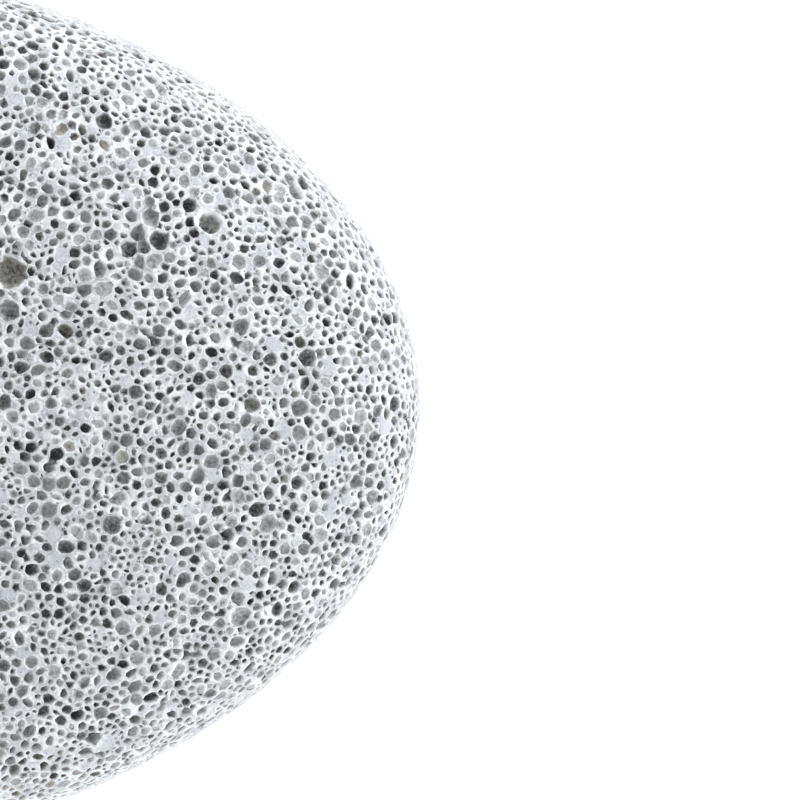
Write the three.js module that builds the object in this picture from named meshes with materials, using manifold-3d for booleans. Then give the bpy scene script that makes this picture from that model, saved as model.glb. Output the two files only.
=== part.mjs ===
// A pumice stone: one oval pebble of hardened volcanic froth, worn smooth by water.
// Millimetres, +Z up. The origin is under the middle of the stone, on the surface it lies on.

import * as THREE from 'three';
import { mergeVertices } from 'three/addons/utils/BufferGeometryUtils.js';
import Module from 'manifold-3d';

// Driving dimensions, in millimetres
const LENGTH = 99.4; // along X
const WIDTH = 61.2; // along Y
const HEIGHT = 30; // along Z
const BELLY = 17.5; // how far below its widest level the underside would bulge if it weren't worn flat
const FLAT_EASE = 0.8; // height over which the worn flat eases into the round of the underside

// Shape
const RIM_POWER = 2.35; // 2 makes an ellipse in side view; more makes a flatter face and a fuller rim
const LUMP_SIZE = 0.014; // height of the low lumps, as a share of the distance from the middle
const LUMPS = [
  // how fast each set of lumps repeats along X, Y and Z, and where it starts
  { rate: new THREE.Vector3(4.2, 2.6, 1.4), start: 0.4 },
  { rate: new THREE.Vector3(-2.4, 5.2, 3.8), start: 2.1 },
  { rate: new THREE.Vector3(6.8, -1.8, 4.6), start: 4.0 },
];
const SHELL_DETAIL = 11; // each of an icosahedron's edges is cut into one more piece than this
const MOUTH_DETAIL = 1; // the same for a vesicle

// The largest vesicles, the gas bubbles cut open by wear: [x, y, diameter of the mouth]
const TOP_VESICLES = [
  // towards the +X end
  [23.1, 8.6, 1.9],
  [23.1, 6.3, 1.3],
  [26.2, 6.7, 0.9],
  [28.2, -1.5, 0.9],
  [29.7, -7.6, 1.0],
  [32.8, 10.7, 1.1],
  [33.2, -6.9, 0.8],
  [35.6, -16.8, 0.9],
  [35.9, 12.1, 1.7],
  [37.9, -13.8, 1.2],
  [37.9, 9.3, 1.1],
  [39.1, -6.8, 1.0],
  [39.8, -7.6, 1.0],
  [40.0, 3.1, 0.9],
  [40.3, 9.4, 0.8],
  [41.7, -5.0, 0.9],
  [42.3, 3.2, 1.1],
  [47.1, -5.1, 0.8],
  // the middle and the -X end
  [14.6, -9.3, 1.5],
  [11.2, 17.8, 1.2],
  [8.4, 2.6, 1.0],
  [3.1, -19.6, 1.3],
  [-2.7, 11.4, 1.7],
  [-7.9, -5.8, 1.1],
  [-13.5, 21.0, 1.4],
  [-17.2, -14.4, 1.8],
  [-21.8, 5.1, 1.2],
  [-28.6, 14.7, 1.0],
  [-31.3, -7.7, 1.5],
  [-38.9, 2.2, 1.3],
  [-42.4, -9.8, 1.0],
];
const UNDERSIDE_VESICLES = [
  [44.8, 2.9, 1.2],
  [36.4, 13.2, 1.6],
  [33.7, -10.5, 1.3],
  [24.2, 4.3, 1.1],
  [18.8, -20.1, 1.5],
  [12.9, 22.4, 1.2],
  [9.6, -7.2, 1.7],
  [-4.4, 16.3, 1.1],
  [-8.2, -22.7, 1.4],
  [-15.1, 6.6, 1.3],
  [-23.9, -12.8, 1.2],
  [-27.5, 18.1, 1.7],
  [-36.6, -4.9, 1.1],
  [-43.3, 8.4, 1.4],
];

// The +X end is the most evenly worn, so the lumps fade away towards it
function lump(direction) {
  const fade = ((1 - direction.x) / 2) ** 2;
  const waves = LUMPS.map(({ rate, start }) => Math.sin(rate.dot(direction) + start));
  return LUMP_SIZE * fade * waves.reduce((sum, wave) => sum + wave);
}

// The worn flat: nothing reaches below it, and the underside eases into it
function wearFlat(z) {
  const flat = -HEIGHT / 2;
  const overlap = Math.max(FLAT_EASE - Math.abs(z - flat), 0);
  return Math.max(z, flat) + overlap ** 2 / (4 * FLAT_EASE);
}

// The point of the stone's skin that lies in a direction from its middle
function skinPoint(direction) {
  const { x, y, z } = direction;
  const evened = Math.hypot(x, y) ** RIM_POWER + Math.abs(z) ** RIM_POWER;
  const reach = evened ** (-1 / RIM_POWER) * (1 + lump(direction));
  const depth = z > 0 ? HEIGHT / 2 : BELLY;
  return new THREE.Vector3(x * reach * (LENGTH / 2), y * reach * (WIDTH / 2), wearFlat(z * reach * depth));
}

// The direction of the skin above or below a place in plan
function directionAt(x, y, side) {
  const across = x / (LENGTH / 2);
  const along = y / (WIDTH / 2);
  const up = (1 - Math.hypot(across, along) ** RIM_POWER) ** (1 / RIM_POWER);
  return new THREE.Vector3(across, along, side * up).normalize();
}

// A ball whose triangles share their corners, so that it closes
function ball(radius, detail) {
  const geometry = new THREE.IcosahedronGeometry(radius, detail);
  geometry.deleteAttribute('normal');
  geometry.deleteAttribute('uv');
  return mergeVertices(geometry, radius * 1e-4);
}

function skin() {
  const geometry = ball(1, SHELL_DETAIL);
  const places = geometry.attributes.position;
  for (let i = 0; i < places.count; i += 1) {
    const direction = new THREE.Vector3().fromBufferAttribute(places, i).normalize();
    places.setXYZ(i, ...skinPoint(direction));
  }
  return geometry;
}

function vesicle([x, y, mouth], side) {
  const centre = skinPoint(directionAt(x, y, side));
  return ball(mouth / 2, MOUTH_DETAIL).translate(...centre);
}

function toSolid(geometry) {
  const mesh = new wasm.Mesh({
    numProp: 3,
    vertProperties: geometry.attributes.position.array,
    triVerts: new Uint32Array(geometry.index.array),
  });
  return new wasm.Manifold(mesh);
}

function toGeometry(solid) {
  const { vertProperties, triVerts } = solid.getMesh();
  const geometry = new THREE.BufferGeometry();
  geometry.setAttribute('position', new THREE.BufferAttribute(vertProperties, 3));
  geometry.setIndex(new THREE.BufferAttribute(triVerts, 1));
  geometry.computeVertexNormals();
  return geometry;
}

// The stone with its large vesicles cut in, brought to its driving sizes and stood on its flat
function stone() {
  const cuts = [
    ...TOP_VESICLES.map((place) => vesicle(place, 1)),
    ...UNDERSIDE_VESICLES.map((place) => vesicle(place, -1)),
  ];
  const whole = toSolid(skin());
  const worn = cuts.reduce((solid, cut) => solid.subtract(toSolid(cut)), whole);
  const geometry = toGeometry(worn);
  geometry.computeBoundingBox();
  const { min, max } = geometry.boundingBox;
  geometry.translate(-(min.x + max.x) / 2, -(min.y + max.y) / 2, -min.z);
  geometry.scale(LENGTH / (max.x - min.x), WIDTH / (max.y - min.y), HEIGHT / (max.z - min.z));
  return geometry;
}

const wasm = await Module();
wasm.setup();

const froth = new THREE.MeshStandardMaterial({ color: 0xc9cdd0, roughness: 0.8, metalness: 0 });
const pumice = new THREE.Mesh(stone(), froth);
pumice.name = 'pumice_stone';

const part = new THREE.Group();
part.add(pumice);

export default part;
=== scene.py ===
"""A pumice stone: an oval pebble of hardened volcanic froth, every vesicle of it an open pit.

The froth is grown on the stone's worn skin. The vesicles' middles are scattered over the skin and
pushed apart until they pack like bubbles. Each then takes the skin around it, up to the crests that
it shares with its neighbours, and is sunk between those crests as a pit.
"""

import math

import bpy
import numpy as np
from bpy.props import FloatProperty, FloatVectorProperty, IntProperty, PointerProperty
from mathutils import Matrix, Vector
from mathutils.geometry import delaunay_2d_cdt


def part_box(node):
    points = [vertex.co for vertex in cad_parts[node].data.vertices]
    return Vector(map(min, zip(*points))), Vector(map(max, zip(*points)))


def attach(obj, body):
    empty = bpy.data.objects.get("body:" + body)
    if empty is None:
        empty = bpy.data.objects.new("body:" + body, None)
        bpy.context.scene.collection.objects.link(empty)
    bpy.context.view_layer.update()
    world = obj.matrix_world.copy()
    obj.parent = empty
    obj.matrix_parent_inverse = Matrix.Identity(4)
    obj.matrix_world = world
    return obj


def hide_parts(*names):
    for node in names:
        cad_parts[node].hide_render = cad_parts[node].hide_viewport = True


bl_info = {
    "name": "Pumice Stone",
    "version": (1, 0, 0),
    "blender": (4, 5, 0),
    "location": "3D View > Sidebar > Pumice",
    "description": "Grows a water-worn pumice stone and sets it in a soft white studio",
    "category": "Add Mesh",
}

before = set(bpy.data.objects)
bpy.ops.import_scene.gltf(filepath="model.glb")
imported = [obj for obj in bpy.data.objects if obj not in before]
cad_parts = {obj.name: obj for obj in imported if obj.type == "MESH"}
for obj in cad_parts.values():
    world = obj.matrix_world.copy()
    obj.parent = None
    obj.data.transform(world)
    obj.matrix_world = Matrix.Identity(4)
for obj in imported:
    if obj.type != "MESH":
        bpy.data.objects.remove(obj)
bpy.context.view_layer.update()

NODE = "pumice_stone"
MM = 0.001

# The stone's shape, in millimetres, as its solid has it
STONE_LOW, STONE_HIGH = (np.array(corner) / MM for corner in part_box(NODE))
LENGTH, WIDTH, HEIGHT = STONE_HIGH - STONE_LOW
BELLY = 17.5  # how far the underside would bulge if it weren't worn flat
FLAT_EASE = 0.8  # height over which the worn flat eases into the round
RIM_POWER = 2.35  # 2 is an ellipse in side view; more is a flatter face and a fuller rim
LUMP_SIZE = 0.014
LUMPS = (
    # how fast each set of lumps repeats along X, Y and Z, and where it starts
    ((4.2, 2.6, 1.4), 0.4),
    ((-2.4, 5.2, 3.8), 2.1),
    ((6.8, -1.8, 4.6), 4.0),
)

# The largest vesicles, as the solid has them: x, y and diameter of the mouth, in millimetres, and
# then how dark each is painted, as shade in its pit, and how stained each is, from 0 to 1
TOP_VESICLES = (
    # towards the +X end
    (23.1, 8.6, 1.9, 0.45, 0.95),
    (23.1, 6.3, 1.3, 0.4, 0.7),
    (26.2, 6.7, 0.9, 0.6, 0.5),
    (28.2, -1.5, 0.9, 0.85, 0.5),
    (29.7, -7.6, 1.0, 0.55, 0.5),
    (32.8, 10.7, 1.1, 0.8, 0.5),
    (33.2, -6.9, 0.8, 0.6, 0.5),
    (35.6, -16.8, 0.9, 0.6, 0.5),
    (35.9, 12.1, 1.7, 0.55, 0.88),
    (37.9, -13.8, 1.2, 0.15, 0.5),
    (37.9, 9.3, 1.1, 0.15, 0.5),
    (39.1, -6.8, 1.0, 0.85, 0.5),
    (39.8, -7.6, 1.0, 0.25, 0.5),
    (40.0, 3.1, 0.9, 0.6, 0.8),
    (40.3, 9.4, 0.8, 0.85, 0.5),
    (41.7, -5.0, 0.9, 0.65, 0.5),
    (42.3, 3.2, 1.1, 0.7, 0.8),
    (47.1, -5.1, 0.8, 0.8, 0.9),
    # the middle and the -X end
    (14.6, -9.3, 1.5, 0.5, 0.9),
    (11.2, 17.8, 1.2, 0.7, 0.5),
    (8.4, 2.6, 1.0, 0.8, 0.5),
    (3.1, -19.6, 1.3, 0.2, 0.5),
    (-2.7, 11.4, 1.7, 0.5, 0.5),
    (-7.9, -5.8, 1.1, 0.9, 0.5),
    (-13.5, 21.0, 1.4, 0.4, 0.9),
    (-17.2, -14.4, 1.8, 0.5, 0.5),
    (-21.8, 5.1, 1.2, 0.7, 0.5),
    (-28.6, 14.7, 1.0, 0.3, 0.5),
    (-31.3, -7.7, 1.5, 0.6, 0.5),
    (-38.9, 2.2, 1.3, 0.4, 0.95),
    (-42.4, -9.8, 1.0, 0.8, 0.5),
)
UNDERSIDE_VESICLES = (
    (44.8, 2.9, 1.2, 0.6, 0.5),
    (36.4, 13.2, 1.6, 0.4, 0.9),
    (33.7, -10.5, 1.3, 0.7, 0.5),
    (24.2, 4.3, 1.1, 0.2, 0.5),
    (18.8, -20.1, 1.5, 0.5, 0.5),
    (12.9, 22.4, 1.2, 0.8, 0.5),
    (9.6, -7.2, 1.7, 0.4, 0.9),
    (-4.4, 16.3, 1.1, 0.6, 0.5),
    (-8.2, -22.7, 1.4, 0.7, 0.5),
    (-15.1, 6.6, 1.3, 0.3, 0.5),
    (-23.9, -12.8, 1.2, 0.8, 0.5),
    (-27.5, 18.1, 1.7, 0.5, 0.5),
    (-36.6, -4.9, 1.1, 0.7, 0.5),
    (-43.3, 8.4, 1.4, 0.4, 0.9),
)

PLACED_VESICLES = TOP_VESICLES + UNDERSIDE_VESICLES
PLACED = len(PLACED_VESICLES)
PLACED_ROOM = 1.12  # how much more than its share of the packing each of them takes
PLACED_SQUEEZE = 0.4  # how stretched they are, next to the rest
PLACED_DEPTH = 0.4  # the palest one's depth, as a share of its half width
PLACED_DARK_DEPTH = 0.8  # how much is added to that for the darkest one

# Patches of finer froth on the top: x, y, radius in millimetres, and the share of the usual spacing
FINE_PATCHES = (
    (31.4, -9.8, 2.4, 0.62),
    (28.0, -14.8, 2.0, 0.75),
    (-6.0, 20.0, 3.0, 0.65),
    (-25.0, -3.0, 3.5, 0.7),
)

# Places on the top where more of the vesicles are stained: x, y and radius in millimetres
STAINED_PATCHES = (
    (25.0, -25.5, 3.0),
    (47.5, -5.0, 1.0),
    (22.0, -13.5, 1.2),
    (24.5, 25.5, 1.5),
    (-19.0, -21.0, 3.0),
    (-34.0, 12.0, 2.0),
)
STAIN_GAIN = 0.35  # how much more they are stained

# The packing of the vesicles
TINY = 1e-9
CANDIDATES = 200_000  # places that the vesicles' middles are drawn from
SIZE_RANGE = (0.35, 1.8)  # the smallest and the largest vesicle, next to the usual one
COARSENING_FADE = 25.0  # millimetres over which the froth coarsens from the fine end
UNDERSIDE_FROM = 2.0  # millimetres above the widest level, where it coarsens downwards from
UNDERSIDE_FADE = 10.0  # millimetres that this takes
UNDERSIDE_GAIN = 2  # how much more the underside coarsens than the top
MOST_ROUNDS = 40  # of swaps, before the net of neighbours is taken as it is
ROUNDS_BETWEEN = 3  # of swaps, after each round of pushing
FEWEST_NEIGHBOURS = 4  # that a swap may leave a vesicle with
OVERSHOOT = 1.6  # how much further a vesicle moves than its neighbours push it

# The corners of the crests
CORNER_ROOM = 0.25  # how far out of its triangle a corner may lie, as a share of the triangle
CENTRING = 0.12  # how far a corner is drawn to the middle of its triangle
CORNER_EASE = 0.2  # how far it is drawn to its three neighbours in each round
CORNER_ROUNDS = 2

# How the vesicles differ. A vesicle's size is from its middle to its corners, in millimetres.
USUAL_SIZE = 0.4
SMALL_SIZE = 0.42  # smaller vesicles have no floor ring
LARGE_SIZE = 0.52  # larger ones have a wall ring too
LARGE_RAMP = (0.35, 0.4)  # the size where vesicles begin to count as large, and over how much
SMALL_RAMP = (0.34, -0.1)  # the same for small, downwards
LARGE_SHALLOW = 0.4  # how much rarer shallow dishes are among the large
SMALL_BLANK = 3  # how much commoner closed places are among the small
LARGE_DEPTH = 0.25  # how much less deep the large are for their size
DEPTH_VARIETY = 0.3
DEPTH_RANGE = (0.02, 1.3)  # as a share of the size
DISH_DEPTH = 0.15  # of the shallowest dish, as a share of its size; the deepest has twice this
BLANK_DEPTH = 0.03
# How dark each vesicle's pit is painted, as shade: it differs at random, is more for small vesicles and
# less for shallow dishes
USUAL_DARK = 0.5
DARK_VARIETY = 0.36
# the smallest vesicles get more painted shade
SMALL_PIT_SHADE = 0.45  # how much darker the smallest vesicles are than the usual ones
DISH_DARK = 0.2  # the most that a shallow dish has
BLANK_DARK = -0.5  # marks the closed places for the finish
USUAL_WARM = 0.48
WARM_VARIETY = 0.2
CREST_MOOD = 0.5  # how dark and how warm the crests are
LIP_SHARE = 0.84  # of the vesicle's half width, crest to crest
LIP_RANGE = (0.5, 0.93)
SLANT = (-0.28, -0.16, 0.0)  # how far the bottoms lie to one side, as a share of the size
LEAN_VARIETY = 0.18
WAVER = 0.09  # how unevenly the lip follows the crests
WAVER_LIMIT = 2
ROUNDNESS = 0.52  # 0 keeps a vesicle's corners, 1 makes its mouth round

# A vesicle's rings, from the lip inwards: the share of the lip's width, the share of the vesicle's
# depth, how much of its lean, and how deep in a pit the finish takes the ring to be. The finish
# counts from 0 on the crests, by way of the lips near 0.2, painted pale as a highlight, to 1 at the
# bottom, painted darkest as shade.
LIP_RING = (1.0, 0.0, 0.0, 0.22)
WALL_RING = (0.88, 0.45, 0.3, 0.55)
FLOOR_RING = (0.62, 0.75, 0.7, 0.8)
LIP_SINK = 0.012  # millimetres: the worn lips are eased a little below the crests
CREST_PIT = 0.06  # how deep the finish takes the crests to be
COARSE_CREST_PIT = -0.27  # the same where no ring comes between the crest and the bottom
# those crests are painted nearly as pale as lips: a painted highlight
COARSE_CREST_LEVEL = 0.13  # how pale the finish makes those crests, next to the lips at 0.2
# bottoms taken deeper than 1 carry the pits' painted shade further up walls with fewer rings
SMALL_PIT = 1.35  # how deep it takes the bottoms with no floor ring around them to be
COARSE_PIT = 2.0  # and the bottoms with no rings at all

# Crests that are cut through, which joins two vesicles, and corners that are worn low
ROOMY = 0.34  # millimetres: vesicles and crests smaller than this are left whole
TOO_PALE = 0.1  # vesicles no darker than this are left whole
FAR_JOINED = 0.5  # how often vesicles with no rings are joined, next to those with rings
CUT_FROM = 0.1  # how far along a crest the cut through it begins
CUT_REACH = 0.93  # how near to the cut the rings on its two sides come
CUT_SINK = 0.65  # how deep the cut is, as a share of the shallower vesicle's depth
CUT_PIT = 0.62  # how deep in a pit the finish takes it to be
DIP_SINK = 0.3  # how deep a low corner is, as a share of the shallowest vesicle's depth
DIP_PIT = 0.34  # how deep in a pit the finish takes it to be

# The finish. A scale is how many features there are to a millimetre.
MOTTLE_SCALE = 0.7
SPECKLE_SCALE = 4.0
GRAIN_SCALE = 5.5
HOLE_SCALE = 2.9
SPECK_SCALE = 4.7
NOISE_SPAN = (0.3, 0.7)  # where nearly all of the noise lies
MOTTLE_SPAN = (0.38, 0.62)  # narrower, for patches with clearer edges
# The pinholes and specks are tiny vesicles, painted dark as their shade
HOLE_RADIUS = 0.42  # of the widest pinholes, as a share of their spacing
HOLE_EDGE = (-0.06, 0.1)  # how softly their edges fall, in the same measure
LIP_SPAN = (0.0, 0.2)  # how deep in a pit the flats' colour ends, and the lips' is full
PIT_SPAN = (0.2, 0.62)  # the same for the lips' colour and the pits'
HOLE_SPAN = (0.25, 0.1)  # how deep the pinholes are faintest, and boldest
STAIN_SPAN = (0.75, 1.0)  # how warm the first stained vesicles are, and the most stained
STAIN_STRENGTH = 0.7
GRAIN_SHADE = (0.77, 1.15)  # what the darkest and the palest of the grain do to the colour

# The studio
BRIGHT_SIDE = (0.8, 0.6, 0.0)  # where a little more of its light comes from
SIDES_END = 0.7  # how high the sides' light reaches, if 0 is level and 1 is straight up
KEY_PLACE = (-0.15, -0.1, 0.6)
KEY_SIZE = 0.25
SENSOR_WIDTH = 36


# The skin of the stone


def raw_point(direction):
    """The skin in each direction from the middle, in millimetres, before its underside is worn flat."""
    fade = ((1 - direction[:, 0]) / 2) ** 2
    waves = sum(np.sin(direction @ np.array(rate) + start) for rate, start in LUMPS)
    across = np.hypot(direction[:, 0], direction[:, 1])
    evened = across**RIM_POWER + np.abs(direction[:, 2]) ** RIM_POWER
    reach = evened ** (-1 / RIM_POWER) * (1 + LUMP_SIZE * fade * waves)
    return direction * reach[:, None] * half_sizes(direction[:, 2])


def half_sizes(up):
    """The stone's half length, half width and half height, above or below its widest level."""
    half = np.empty((len(up), 3))
    half[:, 0] = LENGTH / 2
    half[:, 1] = WIDTH / 2
    half[:, 2] = np.where(up > 0, HEIGHT / 2, BELLY)
    return half


def direction_of(point):
    """The direction from the middle whose skin a point is nearest to."""
    return unit(point / half_sizes(point[:, 2]))


def onto_skin(point):
    return raw_point(direction_of(point))


def raw_normal(point):
    """Which way the skin faces at its own points."""
    half = half_sizes(point[:, 2])
    scaled = point / half
    across = np.hypot(scaled[:, 0], scaled[:, 1]) + TINY
    slope = scaled.copy()
    slope[:, :2] *= (across ** (RIM_POWER - 2))[:, None]
    slope[:, 2] = np.sign(scaled[:, 2]) * np.abs(scaled[:, 2]) ** (RIM_POWER - 1)
    return unit(slope / half)


def wear(point):
    """The skin's points and normals once the underside is worn flat, stood on z = 0."""
    flat = -HEIGHT / 2
    overlap = np.maximum(FLAT_EASE - np.abs(point[:, 2] - flat), 0)
    worn = point.copy()
    worn[:, 2] = np.maximum(point[:, 2], flat) + overlap**2 / (4 * FLAT_EASE) - flat
    kept = np.clip((point[:, 2] - flat) / FLAT_EASE / 2 + 0.5, 0, 1)
    normal = raw_normal(point)
    normal[:, :2] *= kept[:, None]
    return worn, unit(normal)


def unit(vectors):
    return vectors / np.linalg.norm(vectors, axis=1)[:, None]


def ramp(values, start, width):
    """0 up to the start, rising to 1 over the width. A negative width goes downwards."""
    return np.clip((values - start) / width, 0, 1)


def sum_by(keys, vectors, count):
    """The sum of the vectors that share each key."""
    return np.column_stack([np.bincount(keys, column, count) for column in vectors.T])


def directions_at(places, side):
    """Directions of the skin above or below places in plan, for rows that start with x and y."""
    plan = np.array([row[:2] for row in places]) / (LENGTH / 2, WIDTH / 2)
    up = (1 - np.hypot(*plan.T) ** RIM_POWER) ** (1 / RIM_POWER)
    return unit(np.column_stack([plan, side * up]))


# The packing of the vesicles


def spacing_factor(point, settings):
    """How wide the froth is at each point, next to the froth of the fine end."""
    away = ramp(point[:, 0], settings.fine_from / MM, -COARSENING_FADE)
    under = ramp(point[:, 2], UNDERSIDE_FROM, -UNDERSIDE_FADE)
    factor = 1 + (settings.coarsening - 1) * np.maximum(away, UNDERSIDE_GAIN * under)
    for x, y, radius, share in FINE_PATCHES:
        near = np.hypot(point[:, 0] - x, point[:, 1] - y) < radius
        factor[near & (point[:, 2] > 0)] *= share
    return factor


def area_stretch(direction):
    """How much skin each direction stands for."""
    step = 1e-3
    askew = np.array([0.31, 0.52, 0.79])
    side = unit(np.cross(direction, askew))
    other = np.cross(direction, side)
    here = raw_point(direction)
    one = raw_point(unit(direction + step * side)) - here
    two = raw_point(unit(direction + step * other)) - here
    return np.linalg.norm(np.cross(one, two), axis=1) / step**2


def scatter(settings, rng):
    """The vesicles' middles, the placed ones first, and how large each is next to its neighbours."""
    placed = np.vstack([directions_at(TOP_VESICLES, 1), directions_at(UNDERSIDE_VESICLES, -1)])
    mouths = np.array([row[2] for row in PLACED_VESICLES])
    candidates = unit(rng.normal(size=(CANDIDATES, 3)))
    stretch = area_stretch(candidates)
    share = settings.spacing / MM * spacing_factor(raw_point(candidates), settings)
    crowd = stretch / share**2
    count = int(4 * math.pi * crowd.mean())
    chosen = rng.choice(CANDIDATES, count - PLACED, replace=False, p=crowd / crowd.sum())
    sizes = np.exp(settings.variety * rng.normal(size=len(chosen)))
    sizes = np.clip(sizes, *SIZE_RANGE) * share[chosen] / 2
    points = raw_point(np.vstack([placed, candidates[chosen]]))
    radii = np.concatenate([mouths / 2 / LIP_SHARE * PLACED_ROOM, sizes])
    return points, radii


def triangulate(directions):
    """The net of neighbours on a ball: flat around the last direction, and closed over it."""
    pole = directions[-1]
    askew = [0.6, 0.0, 0.8]
    side = unit(np.cross(pole, askew)[None])[0]
    other = np.cross(pole, side)
    rest = directions[:-1]
    spread = np.column_stack([rest @ side, rest @ other]) / (1 - rest @ pole)[:, None]
    net = delaunay_2d_cdt([Vector(place) for place in spread], [], [], 0, TINY, True)
    triangles = np.array(net[2])[:, ::-1]
    edges = np.vstack([triangles[:, [0, 1]], triangles[:, [1, 2]], triangles[:, [2, 0]]])
    key = edges[:, 0] * len(directions) + edges[:, 1]
    twin = edges[:, 1] * len(directions) + edges[:, 0]
    hull = edges[~np.isin(twin, key)]
    cap = np.column_stack([hull[:, ::-1], np.full(len(hull), len(rest))])
    return np.vstack([triangles, cap])


def paired_edges(triangles, count):
    """Each edge once: its two ends, and the triangle and the far corner on either side of it."""
    start = triangles.ravel()
    end = np.roll(triangles, -1, axis=1).ravel()
    far = np.roll(triangles, -2, axis=1).ravel()
    home = np.repeat(np.arange(len(triangles)), 3)
    order = np.argsort(edge_keys(start, end, count), kind="stable")
    one, two = order[::2], order[1::2]
    return start[one], end[one], home[one], home[two], far[one], far[two]


def swap_gain(points, power, a, b, c, d):
    """For edges from a to b with far corners c and d on their two sides: how far d is inside the
    bubble of a, b and c, and whether the swapped edge would stay within the two triangles."""
    origin = points[a]
    along = unit(points[b] - origin)
    up = np.cross(points[b] - origin, points[c] - origin)
    up = unit(up + np.cross(points[d] - origin, points[b] - origin))
    across = np.cross(up, along)

    def flat(corner):
        offset = points[corner] - origin
        x = np.einsum("ij,ij->i", offset, along)
        y = np.einsum("ij,ij->i", offset, across)
        return x, y, x * x + y * y - power[corner]

    ax, ay, az = flat(a)
    bx, by, bz = flat(b)
    cx, cy, cz = flat(c)
    dx, dy, dz = flat(d)
    inside = (
        (ax - dx) * ((by - dy) * (cz - dz) - (bz - dz) * (cy - dy))
        - (ay - dy) * ((bx - dx) * (cz - dz) - (bz - dz) * (cx - dx))
        + (az - dz) * ((bx - dx) * (cy - dy) - (by - dy) * (cx - dx))
    )
    side_a = (cx - dx) * (ay - dy) - (cy - dy) * (ax - dx)
    side_b = (cx - dx) * (by - dy) - (cy - dy) * (bx - dx)
    return inside, side_a * side_b < 0


def flip_edges(triangles, points, power):
    """One round of swaps towards the net of bubbles pressed together. Returns how many there were."""
    count = len(points)
    a, b, left, right, c, d = paired_edges(triangles, count)
    inside, convex = swap_gain(points, power, a, b, c, d)
    degree = np.bincount(triangles.ravel(), minlength=count)
    spare = np.minimum(degree[a], degree[b]) > FEWEST_NEIGHBOURS
    ids = np.flatnonzero((inside > TINY) & convex & spare)
    # no swap may make an edge that is there already, or that another swap makes
    swapped = edge_keys(c[ids], d[ids], count)
    ids = ids[~np.isin(swapped, edge_keys(a, b, count))]
    ids = ids[np.argsort(-inside[ids], kind="stable")]
    ids = ids[np.unique(edge_keys(c[ids], d[ids], count), return_index=True)[1]]
    # of the swaps that want the same triangle, the one that gains most has it
    ids = ids[np.argsort(inside[ids], kind="stable")]
    holder = np.full(len(triangles), -1)
    both = np.column_stack([left[ids], right[ids]]).ravel()
    holder[both] = np.repeat(ids, 2)
    ids = ids[(holder[left[ids]] == ids) & (holder[right[ids]] == ids)]
    triangles[left[ids]] = np.column_stack([a[ids], d[ids], c[ids]])
    triangles[right[ids]] = np.column_stack([d[ids], b[ids], c[ids]])
    return len(ids)


def settle_net(triangles, points, power, rounds=MOST_ROUNDS):
    """Rounds of swaps, until there is nothing left to swap."""
    for _ in range(rounds):
        if not flip_edges(triangles, points, power):
            break


def edge_keys(one, two, count):
    """A number for each pair, whichever way round it is."""
    return np.minimum(one, two) * count + np.maximum(one, two)


def push_apart(triangles, points, radii):
    """One round of easing, in which neighbours move towards touching and the placed vesicles stay
    put. Returns the points, and how much of their radii fits."""
    count = len(points)
    a, b, *_ = paired_edges(triangles, count)
    offset = points[b] - points[a]
    apart = np.linalg.norm(offset, axis=1)
    reach = radii[a] + radii[b]
    fit = apart.sum() / reach.sum()
    pull = offset * ((apart - reach * fit) / apart * 0.5)[:, None]
    degree = np.bincount(triangles.ravel(), minlength=count)
    move = (sum_by(a, pull, count) - sum_by(b, pull, count)) / degree[:, None] * OVERSHOOT
    move[:PLACED] = 0
    return onto_skin(points + move), fit


def pack_vesicles(settings, rng):
    """The vesicles' middles and radii once they are packed, and the net of neighbours."""
    points, radii = scatter(settings, rng)
    triangles = triangulate(direction_of(points))
    settle_net(triangles, points, np.zeros(len(points)))
    for _ in range(settings.easing):
        points, fit = push_apart(triangles, points, radii)
        settle_net(triangles, points, (radii * fit) ** 2, ROUNDS_BETWEEN)
    settle_net(triangles, points, (radii * fit) ** 2)
    return points, radii * fit, triangles


# The crests between the vesicles


def crest_corners(triangles, points, power):
    """Where three vesicles meet: the point that is as far outside each of the three bubbles."""
    a, b, c = (points[triangles[:, k]] for k in range(3))
    wa, wb, wc = (power[triangles[:, k]] for k in range(3))
    one, two = b - a, c - a
    oo = np.einsum("ij,ij->i", one, one)
    ot = np.einsum("ij,ij->i", one, two)
    tt = np.einsum("ij,ij->i", two, two)
    right_one = (oo + wa - wb) / 2
    right_two = (tt + wa - wc) / 2
    spread = oo * tt - ot * ot
    beta = (right_one * tt - right_two * ot) / spread
    gamma = (right_two * oo - right_one * ot) / spread
    shares = np.column_stack([1 - beta - gamma, beta, gamma])
    shares = np.clip(shares, -CORNER_ROOM, 1 + CORNER_ROOM)
    shares = (1 - CENTRING) * shares / shares.sum(1)[:, None] + CENTRING / 3
    return onto_skin(shares[:, :1] * a + shares[:, 1:2] * b + shares[:, 2:] * c)


def ease_corners(corners, left, right):
    """Draws each corner a little towards its three neighbours, so that no crest is too short."""
    count = len(corners)
    for _ in range(CORNER_ROUNDS):
        pull = sum_by(left, corners[right], count) + sum_by(right, corners[left], count)
        corners = onto_skin((1 - CORNER_EASE) * corners + CORNER_EASE * pull / 3)
    return corners


def rings_of_corners(triangles, count):
    """A row for each vesicle and each of its corners: the vesicle, the corner, the row that follows
    round the ring, and the neighbour across the crest between the two."""
    owner = triangles.ravel()
    ahead = np.roll(triangles, -1, axis=1).ravel()
    neighbour = np.roll(triangles, -2, axis=1).ravel()
    corner = np.repeat(np.arange(len(triangles)), 3)
    key = owner * count + ahead
    order = np.argsort(key)
    follow = order[np.searchsorted(key[order], owner * count + neighbour)]
    return owner, corner, follow, neighbour


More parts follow.
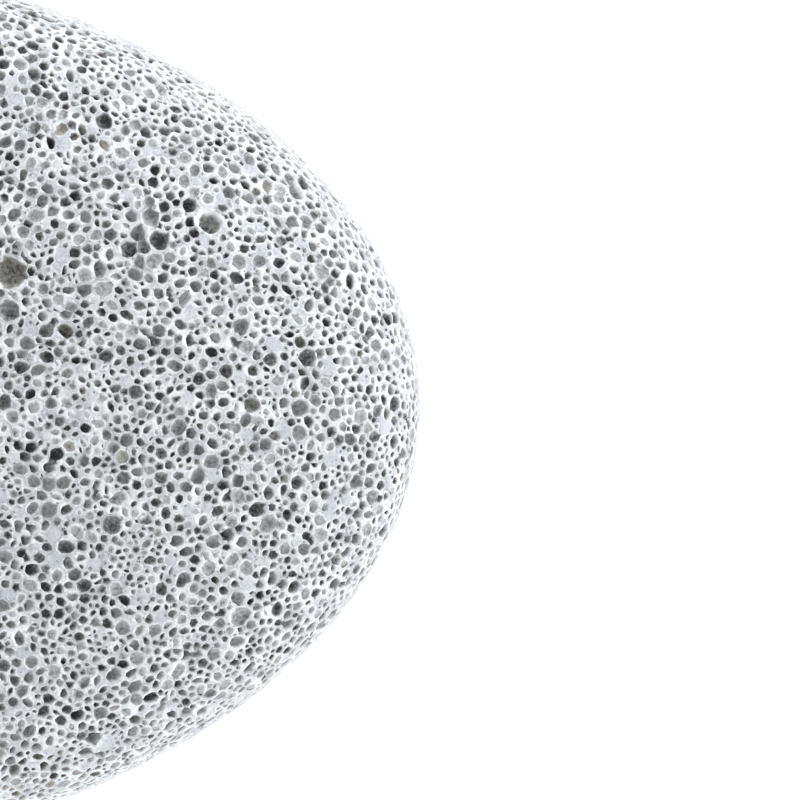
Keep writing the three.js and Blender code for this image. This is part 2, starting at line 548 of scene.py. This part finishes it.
class Froth:
    """The stone's vesicles: their rings of corners on the skin, and the size and mood of each."""

    def __init__(self, settings):
        rng = np.random.default_rng(settings.seed)
        points, radii, triangles = pack_vesicles(settings, rng)
        count = len(points)
        _, _, left, right, *_ = paired_edges(triangles, count)
        corners = crest_corners(triangles, points, radii**2)
        self.corners = ease_corners(corners, left, right)
        self.owner, self.corner, self.follow, self.neighbour = rings_of_corners(triangles, count)
        degree = np.bincount(self.owner, minlength=count)
        middles = sum_by(self.owner, self.corners[self.corner], count) / degree[:, None]
        self.middles = onto_skin(middles)
        reach = np.linalg.norm(self.corners[self.corner] - self.middles[self.owner], axis=1)
        self.sizes = np.bincount(self.owner, reach, count) / degree
        facing = raw_normal(self.middles)[:, 2]
        start = (settings.fine_from - settings.fine_fade * rng.random(count) ** 2) / MM
        self.fine = (self.middles[:, 0] > start) & (facing > settings.fine_facing)
        self.give_moods(settings, rng)
        self.bend_crests(settings, rng)
        self.give_shapes(settings, rng)

    def give_moods(self, settings, rng):
        """How deep, dark and warm each vesicle is, and which are closed. Its darkness is the painted
        shade in its pit.
        """
        count = len(self.middles)
        large = ramp(self.sizes, *LARGE_RAMP)
        small = ramp(self.sizes, *SMALL_RAMP)
        mood = rng.random(count)
        shallow = mood < settings.shallow_share * (1 - LARGE_SHALLOW * large)
        blank = mood < settings.blank_share * (1 - large) * (1 + SMALL_BLANK * small)
        depth = settings.depth * np.exp(DEPTH_VARIETY * rng.normal(size=count))
        depth = np.where(shallow, DISH_DEPTH + DISH_DEPTH * rng.random(count), depth)
        depth = np.where(blank, BLANK_DEPTH, depth)
        self.depth = np.clip(depth, *DEPTH_RANGE) * self.sizes * (1 - LARGE_DEPTH * large)
        usual = USUAL_SIZE * spacing_factor(self.middles, settings)
        dark = USUAL_DARK + DARK_VARIETY * rng.normal(size=count)
        dark = np.clip(dark + SMALL_PIT_SHADE * (1 - self.sizes / usual), 0, 1)
        dark = np.where(shallow, DISH_DARK * rng.random(count), dark)
        self.dark = np.where(blank, BLANK_DARK, dark)
        self.open = np.where(blank, 0.0, 1.0)
        warm = USUAL_WARM + WARM_VARIETY * rng.normal(size=count)
        for x, y, radius in STAINED_PATCHES:
            near = np.hypot(self.middles[:, 0] - x, self.middles[:, 1] - y) < radius
            warm[near & (self.middles[:, 2] > 0)] += STAIN_GAIN
        self.warm = np.clip(warm, 0, 1)
        mouth, dark, warm = np.array([row[2:] for row in PLACED_VESICLES]).T
        self.dark[:PLACED] = dark
        self.warm[:PLACED] = warm
        self.open[:PLACED] = 1
        self.depth[:PLACED] = mouth / 2 * (PLACED_DEPTH + PLACED_DARK_DEPTH * dark)

    def bend_crests(self, settings, rng):
        """Gives long crests a corner halfway, and cuts some crests down between two corners of their
        own, which joins the vesicles on their two sides."""
        ends = self.corners[self.corner], self.corners[self.corner[self.follow]]
        length = np.linalg.norm(ends[0] - ends[1], axis=1)
        keys = edge_keys(self.owner, self.neighbour, len(self.middles))
        keys, crest = np.unique(keys, return_inverse=True)
        whole = np.minimum(self.owner, self.neighbour) < PLACED
        whole |= np.minimum(self.sizes[self.owner], self.sizes[self.neighbour]) <= ROOMY
        whole |= np.minimum(self.dark[self.owner], self.dark[self.neighbour]) <= TOO_PALE
        near = self.fine[self.owner] | self.fine[self.neighbour]
        chance = np.where(near, settings.joined_share, FAR_JOINED * settings.joined_share)
        cut = (rng.random(len(keys))[crest] < chance) & ~whole & (length > ROOMY)
        bent = near & (length > settings.bend_over / MM) & ~cut
        depth = np.minimum(self.depth[self.owner], self.depth[self.neighbour])
        sink = np.where(cut, CUT_SINK * depth, 0)
        self.cuts = np.zeros(len(self.corners))
        self.cut_pits = np.full(len(self.corners), DIP_PIT)
        self.wear_corners(settings, rng)
        for rows, share in ((bent, 0.5), (cut, CUT_FROM), (cut, 1 - CUT_FROM)):
            self.add_corners(np.flatnonzero(rows), share, ends, crest, sink)

    def wear_corners(self, settings, rng):
        """Wears some of the corners where roomy vesicles meet low."""
        least = np.full((3, len(self.corners)), np.inf)
        for row, values in enumerate((self.sizes, self.dark, self.depth)):
            np.minimum.at(least[row], self.corner, values[self.owner])
        size, dark, depth = least
        dips = (rng.random(len(self.corners)) < settings.dip_share) & (size > ROOMY) & (dark > TOO_PALE)
        dips[self.corner[self.owner < PLACED]] = False
        self.cuts[dips] = DIP_SINK * depth[dips]

    def add_corners(self, rows, share, ends, crest, sink):
        """Puts a corner this share of the way along each of the rows' crests, and sinks it."""
        forward = self.owner[rows] < self.neighbour[rows]
        bends, place = np.unique(crest[rows], return_inverse=True)
        along = np.where(forward, share, 1 - share)[:, None]
        corners = np.empty((len(bends), 3))
        corners[place] = ends[0][rows] * (1 - along) + ends[1][rows] * along
        sunk = np.zeros(len(bends))
        sunk[place] = sink[rows]
        # in the ring that runs the crest the other way, the second of its two bends comes first
        before = rows.copy()
        if share > 0.5:
            before = np.where(forward, self.follow[rows], rows)
        added = len(self.owner) + np.arange(len(rows))
        self.owner = np.r_[self.owner, self.owner[rows]]
        self.corner = np.r_[self.corner, len(self.corners) + place]
        self.follow = np.r_[self.follow, self.follow[before]]
        self.follow[before] = added
        self.corners = np.vstack([self.corners, onto_skin(corners)])
        self.cuts = np.r_[self.cuts, sunk]
        self.cut_pits = np.r_[self.cut_pits, np.full(len(bends), CUT_PIT)]

    def give_shapes(self, settings, rng):
        """How wide each vesicle's mouth is, how it is stretched and leans, and how its lip wavers."""
        count = len(self.middles)
        lip = LIP_SHARE + settings.lip_variety * rng.normal(size=count)
        self.lip = np.clip(lip, *LIP_RANGE)
        self.lean = (LEAN_VARIETY * rng.normal(size=(count, 3)) + SLANT) * self.sizes[:, None]
        self.long_way = unit(rng.normal(size=(count, 3)))
        self.squeeze = settings.squeeze * rng.random(count)
        self.squeeze[:PLACED] *= PLACED_SQUEEZE
        waver = np.clip(rng.normal(size=len(self.owner)), -WAVER_LIMIT, WAVER_LIMIT)
        self.waver = 1 + WAVER * waver
        self.worn_down = settings.unevenness / MM * rng.random(len(self.corners))


# The mesh


def ring_points(froth, rows, ring):
    """A ring inside each vesicle: its corners drawn in, rounded and sunk."""
    share, sink, lean, _ = ring
    owner = froth.owner[rows]
    middle = froth.middles[owner]
    offset = froth.corners[froth.corner[rows]] - middle
    length = np.linalg.norm(offset, axis=1)[:, None]
    even = offset / length * froth.sizes[owner][:, None]
    drawn = offset + (even - offset) * ROUNDNESS
    long_way = froth.long_way[owner]
    along = np.einsum("ij,ij->i", drawn, long_way)
    drawn -= long_way * (along * froth.squeeze[owner])[:, None]
    drawn *= (froth.lip[owner] * froth.waver[rows] * share)[:, None]
    cut = froth.cuts[froth.corner[rows]] > 0
    drawn[cut] = offset[cut] * CUT_REACH * share
    place = onto_skin(middle + drawn + froth.lean[owner] * lean)
    worn, normal = wear(place)
    deep = np.maximum(LIP_SINK + sink * froth.depth[owner], froth.cuts[froth.corner[rows]])
    return worn - normal * deep[:, None]


def build_mesh(froth):
    """All the vesicles as one closed skin: its points, how deep in a pit each is for the finish, which
    vesicle each is in, and the faces."""
    crest, normal = wear(froth.corners)
    points = [crest - normal * (froth.worn_down + froth.cuts)[:, None]]
    beside_fine = np.zeros(len(crest), bool)
    beside_fine[froth.corner[froth.fine[froth.owner]]] = True
    uncut = np.where(beside_fine, CREST_PIT, COARSE_CREST_PIT)
    pits = [np.where(froth.cuts > 0, froth.cut_pits, uncut)]
    owners = [np.full(len(crest), -1)]
    faces = []
    total = len(crest)
    outer = froth.corner.copy()
    sizes = froth.sizes[froth.owner]
    fine = froth.fine[froth.owner]
    for ring, wanted in (
        (LIP_RING, fine),
        (WALL_RING, fine & (sizes > LARGE_SIZE)),
        (FLOOR_RING, fine & (sizes > SMALL_SIZE)),
    ):
        rows = np.flatnonzero(wanted)
        inner = outer.copy()
        inner[rows] = total + np.arange(len(rows))
        points.append(ring_points(froth, rows, ring))
        tone = ring[3] * froth.open[froth.owner[rows]]
        cut = froth.cuts[froth.corner[rows]] > 0
        pits.append(np.where(cut, np.maximum(tone, froth.cut_pits[froth.corner[rows]]), tone))
        owners.append(froth.owner[rows])
        follow = froth.follow[rows]
        faces += np.column_stack([outer[rows], outer[follow], inner[follow], inner[rows]]).tolist()
        total += len(rows)
        outer = inner
    bottom, normal = wear(onto_skin(froth.middles + froth.lean))
    points.append(bottom - normal * froth.depth[:, None])
    bottom_pit = np.where(froth.sizes > SMALL_SIZE, 1, SMALL_PIT)
    pits.append(froth.open * np.where(froth.fine, bottom_pit, COARSE_PIT))
    owners.append(np.arange(len(bottom)))
    faces += np.column_stack([outer, outer[froth.follow], total + froth.owner]).tolist()
    return np.vstack(points), np.concatenate(pits), np.concatenate(owners), faces


def fit_to_solid(points):
    """Brings the froth's points to the solid's own box, in metres."""
    low, high = points.min(0), points.max(0)
    shared = (points - low) / (high - low)
    return (STONE_LOW + shared * (STONE_HIGH - STONE_LOW)) * MM


def unfold(mesh, directions):
    """A map for the finish: the ball of directions laid out as a square, its top in the middle."""
    loops = np.empty(len(mesh.loops), int)
    mesh.loops.foreach_get("vertex_index", loops)
    sizes = np.empty(len(mesh.polygons), int)
    mesh.polygons.foreach_get("loop_total", sizes)
    home = np.repeat(np.arange(len(sizes)), sizes)
    direction = directions[loops]
    side = np.where(sum_by(home, direction[:, :2], len(sizes)) < 0, -1, 1)[home]
    flat = direction[:, :2] * side
    spread = flat.sum(1) + np.abs(direction[:, 2])
    flat = flat / spread[:, None]
    under = direction[:, 2] < 0
    flat[under] = 1 - flat[under][:, ::-1]
    half_width = 0.49
    place = 0.5 + half_width * flat * side
    layer = mesh.uv_layers.new(name="OFBake")
    layer.data.foreach_set("uv", place.astype(np.float32).ravel())


def store(mesh, name, values):
    layer = mesh.attributes.new(name, "FLOAT", "POINT")
    layer.data.foreach_set("value", values.astype(np.float32))


def make_stone(settings):
    froth = Froth(settings)
    points, pits, owners, faces = build_mesh(froth)
    mesh = bpy.data.meshes.new(NODE)
    mesh.from_pydata(fit_to_solid(points).tolist(), [], faces)
    mesh.shade_smooth()
    inside = owners >= 0
    # how dark each vesicle's painted shade is, and how stained it is; the crests take the middle of
    # both
    store(mesh, "dark", np.where(inside, froth.dark[owners], CREST_MOOD))
    store(mesh, "warm", np.where(inside, froth.warm[owners], CREST_MOOD))
    store(mesh, "pit", pits)
    lifted = points - [0, 0, HEIGHT / 2]
    unfold(mesh, direction_of(lifted))
    stone = bpy.data.objects.new("pumice_froth", mesh)
    bpy.context.scene.collection.objects.link(stone)
    return stone


# The finish


def add_node(tree, kind, **values):
    node = tree.nodes.new(kind)
    for name, value in values.items():
        setattr(node, name, value)
    return node


def mix_colours(tree, factor, one, two, kind="MIX"):
    """A blend of two colours, each a plain colour or a socket that gives one."""
    node = add_node(tree, "ShaderNodeMix", data_type="RGBA", blend_type=kind)
    for name, value in (("Factor", factor), ("A", one), ("B", two)):
        socket = next(each for each in node.inputs if each.name == name and each.enabled)
        if isinstance(value, bpy.types.NodeSocket):
            tree.links.new(value, socket)
        else:
            socket.default_value = value
    return next(each for each in node.outputs if each.enabled)


def map_range(tree, value, low, high, new_low=0.0, new_high=1.0, smooth=False):
    node = add_node(tree, "ShaderNodeMapRange")
    node.interpolation_type = "SMOOTHSTEP" if smooth else "LINEAR"
    ends = {"From Min": low, "From Max": high, "To Min": new_low, "To Max": new_high}
    for name, number in ends.items():
        node.inputs[name].default_value = number
    tree.links.new(value, node.inputs["Value"])
    return node.outputs["Result"]


def math_node(tree, operation, *values):
    node = add_node(tree, "ShaderNodeMath", operation=operation)
    for socket, value in zip(node.inputs, values):
        if isinstance(value, bpy.types.NodeSocket):
            tree.links.new(value, socket)
        else:
            socket.default_value = value
    return node.outputs["Value"]


def attribute(tree, name):
    return add_node(tree, "ShaderNodeAttribute", attribute_name=name).outputs["Fac"]


def noise(tree, place, scale, detail, roughness):
    """Cloudy noise with so many features to a millimetre, from 0 to 1."""
    node = add_node(tree, "ShaderNodeTexNoise")
    tree.links.new(place, node.inputs["Vector"])
    node.inputs["Scale"].default_value = scale
    node.inputs["Detail"].default_value = detail
    node.inputs["Roughness"].default_value = roughness
    return node.outputs["Fac"]


def pinholes(tree, place, scale, share):
    """A mask of tiny round holes, so many to a millimetre, of which only a share are open."""
    node = add_node(tree, "ShaderNodeTexVoronoi", feature="F1")
    tree.links.new(place, node.inputs["Vector"])
    node.inputs["Scale"].default_value = scale
    chance = add_node(tree, "ShaderNodeSeparateColor")
    tree.links.new(node.outputs["Color"], chance.inputs["Color"])
    radius = map_range(tree, chance.outputs["Red"], 1 - share, 1.0, 0.0, HOLE_RADIUS)
    inside = math_node(tree, "SUBTRACT", radius, node.outputs["Distance"])
    return map_range(tree, inside, *HOLE_EDGE, smooth=True)


def place_in_mm(tree):
    """Where each point of the piece is, in millimetres."""
    node = add_node(tree, "ShaderNodeVectorMath", operation="SCALE")
    node.inputs["Scale"].default_value = 1 / MM
    tree.links.new(add_node(tree, "ShaderNodeTexCoord").outputs["Object"], node.inputs[0])
    return node.outputs["Vector"]


def skin_colour(tree, colours, mottle, pit, dark):
    """Mottled blue-grey flats, and lips whitened with a painted highlight."""
    flats = mix_colours(tree, mottle, (*colours.flat, 1), (*colours.pale_flat, 1))
    # crests with no rings below them are painted nearly as pale as lips: a painted highlight that makes
    # up for the shade on their narrow walls
    crest_highlight = map_range(tree, pit, COARSE_CREST_PIT, 0.0, COARSE_CREST_LEVEL, CREST_PIT)
    level = math_node(tree, "MAXIMUM", pit, crest_highlight)
    level = math_node(tree, "ADD", level, map_range(tree, dark, BLANK_DARK, 0.0, -0.1, 0.0))
    level = math_node(tree, "ADD", level, map_range(tree, mottle, 0.0, 1.0, -0.1, 0.08))
    # the lips' colour is a painted highlight along the vesicles' edges
    lips = map_range(tree, level, *LIP_SPAN, smooth=True)
    return mix_colours(tree, lips, flats, (*colours.lip, 1))


def pit_colour(tree, colours, place, pit, dark):
    """Pits in painted shade, darkening by chance, in patches and as they deepen, with a few of them
    stained.
    """
    speckle = noise(tree, place, SPECKLE_SCALE, 2.0, 0.6)
    # painted shade: each vesicle's own darkness, patches of speckle, and more of it deeper in the pit
    painted_shade = math_node(tree, "ADD", dark, map_range(tree, speckle, *NOISE_SPAN, -0.4, 0.4))
    painted_shade = math_node(tree, "ADD", painted_shade, map_range(tree, pit, 0.5, 1.0, -0.3, 0.3))
    painted_shade = map_range(tree, painted_shade, 0.0, 1.0)
    floor = mix_colours(tree, painted_shade, (*colours.shallow_pit_shade, 1), (*colours.deep_pit_shade, 1))
    stain = map_range(tree, attribute(tree, "warm"), *STAIN_SPAN, 0.0, STAIN_STRENGTH)
    return mix_colours(tree, stain, floor, (*colours.stain, 1), "MULTIPLY")


def froth_finish(colours):
    """Pale, dull volcanic glass, with pinholes in the walls between the vesicles. The pits and
    pinholes are darkened with painted shade, and the lips whitened with a painted highlight.
    """
    material = bpy.data.materials.new("pumice froth")
    material.use_nodes = True
    tree = material.node_tree
    tree.nodes.clear()
    link = tree.links.new
    output = add_node(tree, "ShaderNodeOutputMaterial")
    shader = add_node(tree, "ShaderNodeBsdfPrincipled")
    shader.inputs["Roughness"].default_value = 0.85
    shader.inputs["Specular IOR Level"].default_value = 0.2
    shader.inputs["Sheen Weight"].default_value = 0.8
    shader.inputs["Sheen Roughness"].default_value = 0.3
    link(shader.outputs["BSDF"], output.inputs["Surface"])

    place = place_in_mm(tree)
    pit = attribute(tree, "pit")
    dark = attribute(tree, "dark")
    mottle = map_range(tree, noise(tree, place, MOTTLE_SCALE, 3.0, 0.6), *MOTTLE_SPAN)
    grain = noise(tree, place, GRAIN_SCALE, 3.0, 0.75)
    holes = pinholes(tree, place, HOLE_SCALE, 0.5)
    specks = pinholes(tree, place, SPECK_SCALE, 0.75)

    skin = skin_colour(tree, colours, mottle, pit, dark)
    floor = pit_colour(tree, colours, place, pit, dark)
    # the pits' painted shade takes over from the skin deeper in each pit
    sink = map_range(tree, pit, *PIT_SPAN, smooth=True)
    whole = mix_colours(tree, sink, skin, floor)
    # the pinholes are dents in the relief below, painted dark as their shade; the specks are painted
    # grey as shade, with no dent
    hole_shade = math_node(tree, "MULTIPLY", holes, map_range(tree, pit, *HOLE_SPAN, 0.25, 0.6))
    whole = mix_colours(tree, hole_shade, whole, (*colours.deep_pit_shade, 1))
    speck_shade = math_node(tree, "MULTIPLY", specks, map_range(tree, pit, *HOLE_SPAN, 0.3, 0.6))
    whole = mix_colours(tree, speck_shade, whole, (*colours.shallow_pit_shade, 1))

    shade = map_range(tree, grain, *NOISE_SPAN, *GRAIN_SHADE)
    grey = add_node(tree, "ShaderNodeCombineColor")
    for channel in ("Red", "Green", "Blue"):
        link(shade, grey.inputs[channel])
    whole = mix_colours(tree, 1.0, whole, grey.outputs["Color"], "MULTIPLY")
    link(whole, shader.inputs["Base Color"])

    height = math_node(tree, "SUBTRACT", math_node(tree, "MULTIPLY", grain, 0.6), holes)
    bump = add_node(tree, "ShaderNodeBump")
    bump.inputs["Distance"].default_value = colours.relief
    bump.inputs["Strength"].default_value = 1.0
    link(height, bump.inputs["Height"])
    link(bump.outputs["Normal"], shader.inputs["Normal"])
    return material


# The studio


def make_floor(studio):
    size = studio.floor_size
    mesh = bpy.data.meshes.new("floor")
    corners = [(-size, -size, 0), (size, -size, 0), (size, size, 0), (-size, size, 0)]
    mesh.from_pydata(corners, [], [(0, 1, 2, 3)])
    floor = bpy.data.objects.new("floor", mesh)
    bpy.context.scene.collection.objects.link(floor)
    material = bpy.data.materials.new("white paper")
    material.use_nodes = True
    shader = material.node_tree.nodes["Principled BSDF"]
    shader.inputs["Base Color"].default_value = (*studio.floor_colour, 1)
    shader.inputs["Roughness"].default_value = 0.9
    mesh.materials.append(material)


def make_key(studio):
    light = bpy.data.lights.new("key", "AREA")
    light.size = KEY_SIZE
    light.energy = studio.key_power
    lamp = bpy.data.objects.new("key", light)
    lamp.location = KEY_PLACE
    lamp.rotation_euler = (-Vector(KEY_PLACE)).to_track_quat("-Z", "Y").to_euler()
    bpy.context.scene.collection.objects.link(lamp)


def make_air(studio):
    """Light from all round, brighter at the sides than above."""
    world = bpy.data.worlds.new("studio air")
    world.use_nodes = True
    tree = world.node_tree
    background = tree.nodes["Background"]
    background.inputs["Color"].default_value = (*studio.air_colour, 1)
    where = add_node(tree, "ShaderNodeTexCoord").outputs["Generated"]
    parts = add_node(tree, "ShaderNodeSeparateXYZ")
    tree.links.new(where, parts.inputs["Vector"])
    height = math_node(tree, "ABSOLUTE", parts.outputs["Z"])
    strength = map_range(tree, height, 0.0, SIDES_END, studio.side_strength, studio.air_strength)
    aside = add_node(tree, "ShaderNodeVectorMath", operation="DOT_PRODUCT")
    aside.inputs[1].default_value = BRIGHT_SIDE
    tree.links.new(where, aside.inputs[0])
    aside = aside.outputs["Value"]
    favour = map_range(tree, aside, -1.0, 1.0, 1 - studio.favour, 1 + studio.favour)
    strength = math_node(tree, "MULTIPLY", strength, favour)
    tree.links.new(strength, background.inputs["Strength"])
    bpy.context.scene.world = world


def make_camera(studio):
    lens = bpy.data.cameras.new("camera")
    lens.lens = studio.lens
    lens.sensor_width = SENSOR_WIDTH
    camera = bpy.data.objects.new("camera", lens)
    height = studio.view_width * studio.lens / SENSOR_WIDTH
    camera.location = (*studio.look_at, height + STONE_HIGH[2] * MM / 2)
    bpy.context.scene.collection.objects.link(camera)
    bpy.context.scene.camera = camera


# What a user sets


class PumiceFroth(bpy.types.PropertyGroup):
    spacing: FloatProperty(
        name="Spacing", description="Usual distance between vesicles at the fine end",
        default=0.0007, min=0.0004, max=0.003, unit="LENGTH", precision=5,
    )
    coarsening: FloatProperty(
        name="Coarsening", description="How much wider the spacing is away from the fine end",
        default=1.25, min=1, max=2,
    )
    fine_from: FloatProperty(
        name="Fine from", description="Past this place along X, the top's vesicles have every ring",
        default=0.021, unit="LENGTH",
    )
    fine_fade: FloatProperty(
        name="Fine fade", description="How far before that place the first of such vesicles are",
        default=0.01, min=0, unit="LENGTH",
    )
    fine_facing: FloatProperty(
        name="Fine facing",
        description="How far up such vesicles face: 0 is sideways, 1 is straight up",
        default=0.15, min=-1, max=1,
    )
    bend_over: FloatProperty(
        name="Bend over", description="Crests longer than this get a bend",
        default=0.00055, unit="LENGTH", precision=5,
    )
    variety: FloatProperty(
        name="Variety", description="How much the vesicles differ in size",
        default=0.29, min=0, max=1, subtype="FACTOR",
    )
    depth: FloatProperty(
        name="Depth", description="Usual depth of a vesicle, as a share of its half width",
        default=0.85, min=0, max=2,
    )
    shallow_share: FloatProperty(
        name="Shallow", description="Share of vesicles worn down to shallow dishes",
        default=0.22, min=0, max=1, subtype="FACTOR",
    )
    blank_share: FloatProperty(
        name="Blank", description="Share of places between vesicles that stay closed",
        default=0.07, min=0, max=1, subtype="FACTOR",
    )
    joined_share: FloatProperty(
        name="Joined", description="Share of crests between roomy vesicles that are broken through",
        default=0.012, min=0, max=1, subtype="FACTOR",
    )
    dip_share: FloatProperty(
        name="Dips", description="Share of the places where roomy vesicles meet that are worn low",
        default=0.16, min=0, max=1, subtype="FACTOR",
    )
    lip_variety: FloatProperty(
        name="Lip variety", description="How much the width of the walls differs",
        default=0.1, min=0, max=1, subtype="FACTOR",
    )
    squeeze: FloatProperty(
        name="Squeeze", description="How much narrower the longest vesicles are one way",
        default=0.42, min=0, max=0.8, subtype="FACTOR",
    )
    unevenness: FloatProperty(
        name="Unevenness", description="How far the lowest crests are worn below the skin",
        default=0.00008, min=0, unit="LENGTH", precision=5,
    )
    easing: IntProperty(
        name="Easing", description="Rounds of pushing the vesicles apart",
        default=40, min=1, max=200,
    )
    seed: IntProperty(name="Seed", description="Which stone is grown", default=7)


def colour(name, description, default):
    return FloatVectorProperty(
        name=name, description=description, subtype="COLOR", size=3, default=default, min=0, max=1,
    )


class PumiceColours(bpy.types.PropertyGroup):
    flat: colour("Flats", "Colour of the worn skin between vesicles", (0.365, 0.38, 0.403))
    pale_flat: colour("Pale flats", "Colour of the skin's paler patches", (0.415, 0.43, 0.448))
    # the lips' colour is a painted highlight on the vesicles' edges; the pit colours are the painted
    # shade of the pits, which the pinholes and specks take too
    lip: colour("Lips", "Colour of the vesicles' edges", (0.55, 0.565, 0.576))
    shallow_pit_shade: colour("Shallow pits", "Colour of the palest vesicles", (0.30, 0.31, 0.315))
    deep_pit_shade: colour("Deep pits", "Colour of the darkest vesicles", (0.042, 0.045, 0.047))
    stain: colour("Stain", "Tint of the few vesicles with mud in them", (0.9, 0.8, 0.62))
    relief: FloatProperty(
        name="Grain relief", description="Height of the finest grain",
        default=0.00003, min=0, unit="LENGTH", precision=6,
    )


class PumiceStudio(bpy.types.PropertyGroup):
    floor_size: FloatProperty(
        name="Floor", description="Half the floor's width", default=1.5, unit="LENGTH",
    )
    floor_colour: colour("Floor colour", "Colour of the floor", (0.97, 0.97, 0.97))
    air_colour: colour("Air colour", "Colour of the light from all round", (0.97, 0.985, 1.0))
    air_strength: FloatProperty(
        name="Light above", description="Strength of the light from straight above",
        default=0.4, min=0,
    )
    side_strength: FloatProperty(
        name="Light at the sides", description="Strength of the light from the sides",
        default=5.5, min=0,
    )
    favour: FloatProperty(
        name="Favour", description="How much brighter the studio's bright side is than its middle",
        default=0.42, min=0, max=1, subtype="FACTOR",
    )
    key_power: FloatProperty(
        name="Key", description="Power of the main light", default=1.2, min=0, unit="POWER",
    )
    lens: FloatProperty(
        name="Lens", description="Focal length of the camera", default=400, unit="CAMERA",
    )
    view_width: FloatProperty(
        name="View width", description="Width of what the camera sees, at the stone's widest level",
        default=0.05298, unit="LENGTH",
    )
    look_at: FloatVectorProperty(
        name="Looks at", description="Where the camera looks straight down", subtype="TRANSLATION",
        size=2, default=(0.04837, 0.00023), unit="LENGTH",
    )


class PUMICE_OT_stone(bpy.types.Operator):
    """Grows the pumice stone's froth in place of its plain solid."""

    bl_idname = "pumice.stone"
    bl_label = "Pumice stone"

    def execute(self, context):
        stone = make_stone(context.scene.pumice_froth)
        stone.data.materials.append(froth_finish(context.scene.pumice_colours))
        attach(stone, "root")
        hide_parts(NODE)
        return {"FINISHED"}


class PUMICE_OT_stage(bpy.types.Operator):
    """Sets up the floor, the lights and the camera above the stone's +X end."""

    bl_idname = "pumice.stage"
    bl_label = "Studio"

    def execute(self, context):
        studio = context.scene.pumice_studio
        make_floor(studio)
        make_air(studio)
        make_key(studio)
        make_camera(studio)
        context.scene.view_settings.view_transform = "Standard"
        return {"FINISHED"}


class PUMICE_PT_panel(bpy.types.Panel):
    bl_idname = "PUMICE_PT_panel"
    bl_label = "Pumice stone"
    bl_space_type = "VIEW_3D"
    bl_region_type = "UI"
    bl_category = "Pumice"

    def draw(self, context):
        layout = self.layout
        for operator in OPERATORS:
            layout.operator(operator.bl_idname)
        for name in GROUPS:
            group = getattr(context.scene, name)
            for key in group.__annotations__:
                layout.prop(group, key)


GROUPS = {
    "pumice_froth": PumiceFroth,
    "pumice_colours": PumiceColours,
    "pumice_studio": PumiceStudio,
}
OPERATORS = (PUMICE_OT_stone, PUMICE_OT_stage)
CLASSES = (*GROUPS.values(), *OPERATORS, PUMICE_PT_panel)


def register():
    for each in CLASSES:
        bpy.utils.register_class(each)
    for name, group in GROUPS.items():
        setattr(bpy.types.Scene, name, PointerProperty(type=group))


def unregister():
    for name in GROUPS:
        delattr(bpy.types.Scene, name)
    for each in reversed(CLASSES):
        bpy.utils.unregister_class(each)


def main():
    register()
    bpy.ops.pumice.stage()
    bpy.ops.pumice.stone()


if __name__ == "__main__":
    main()
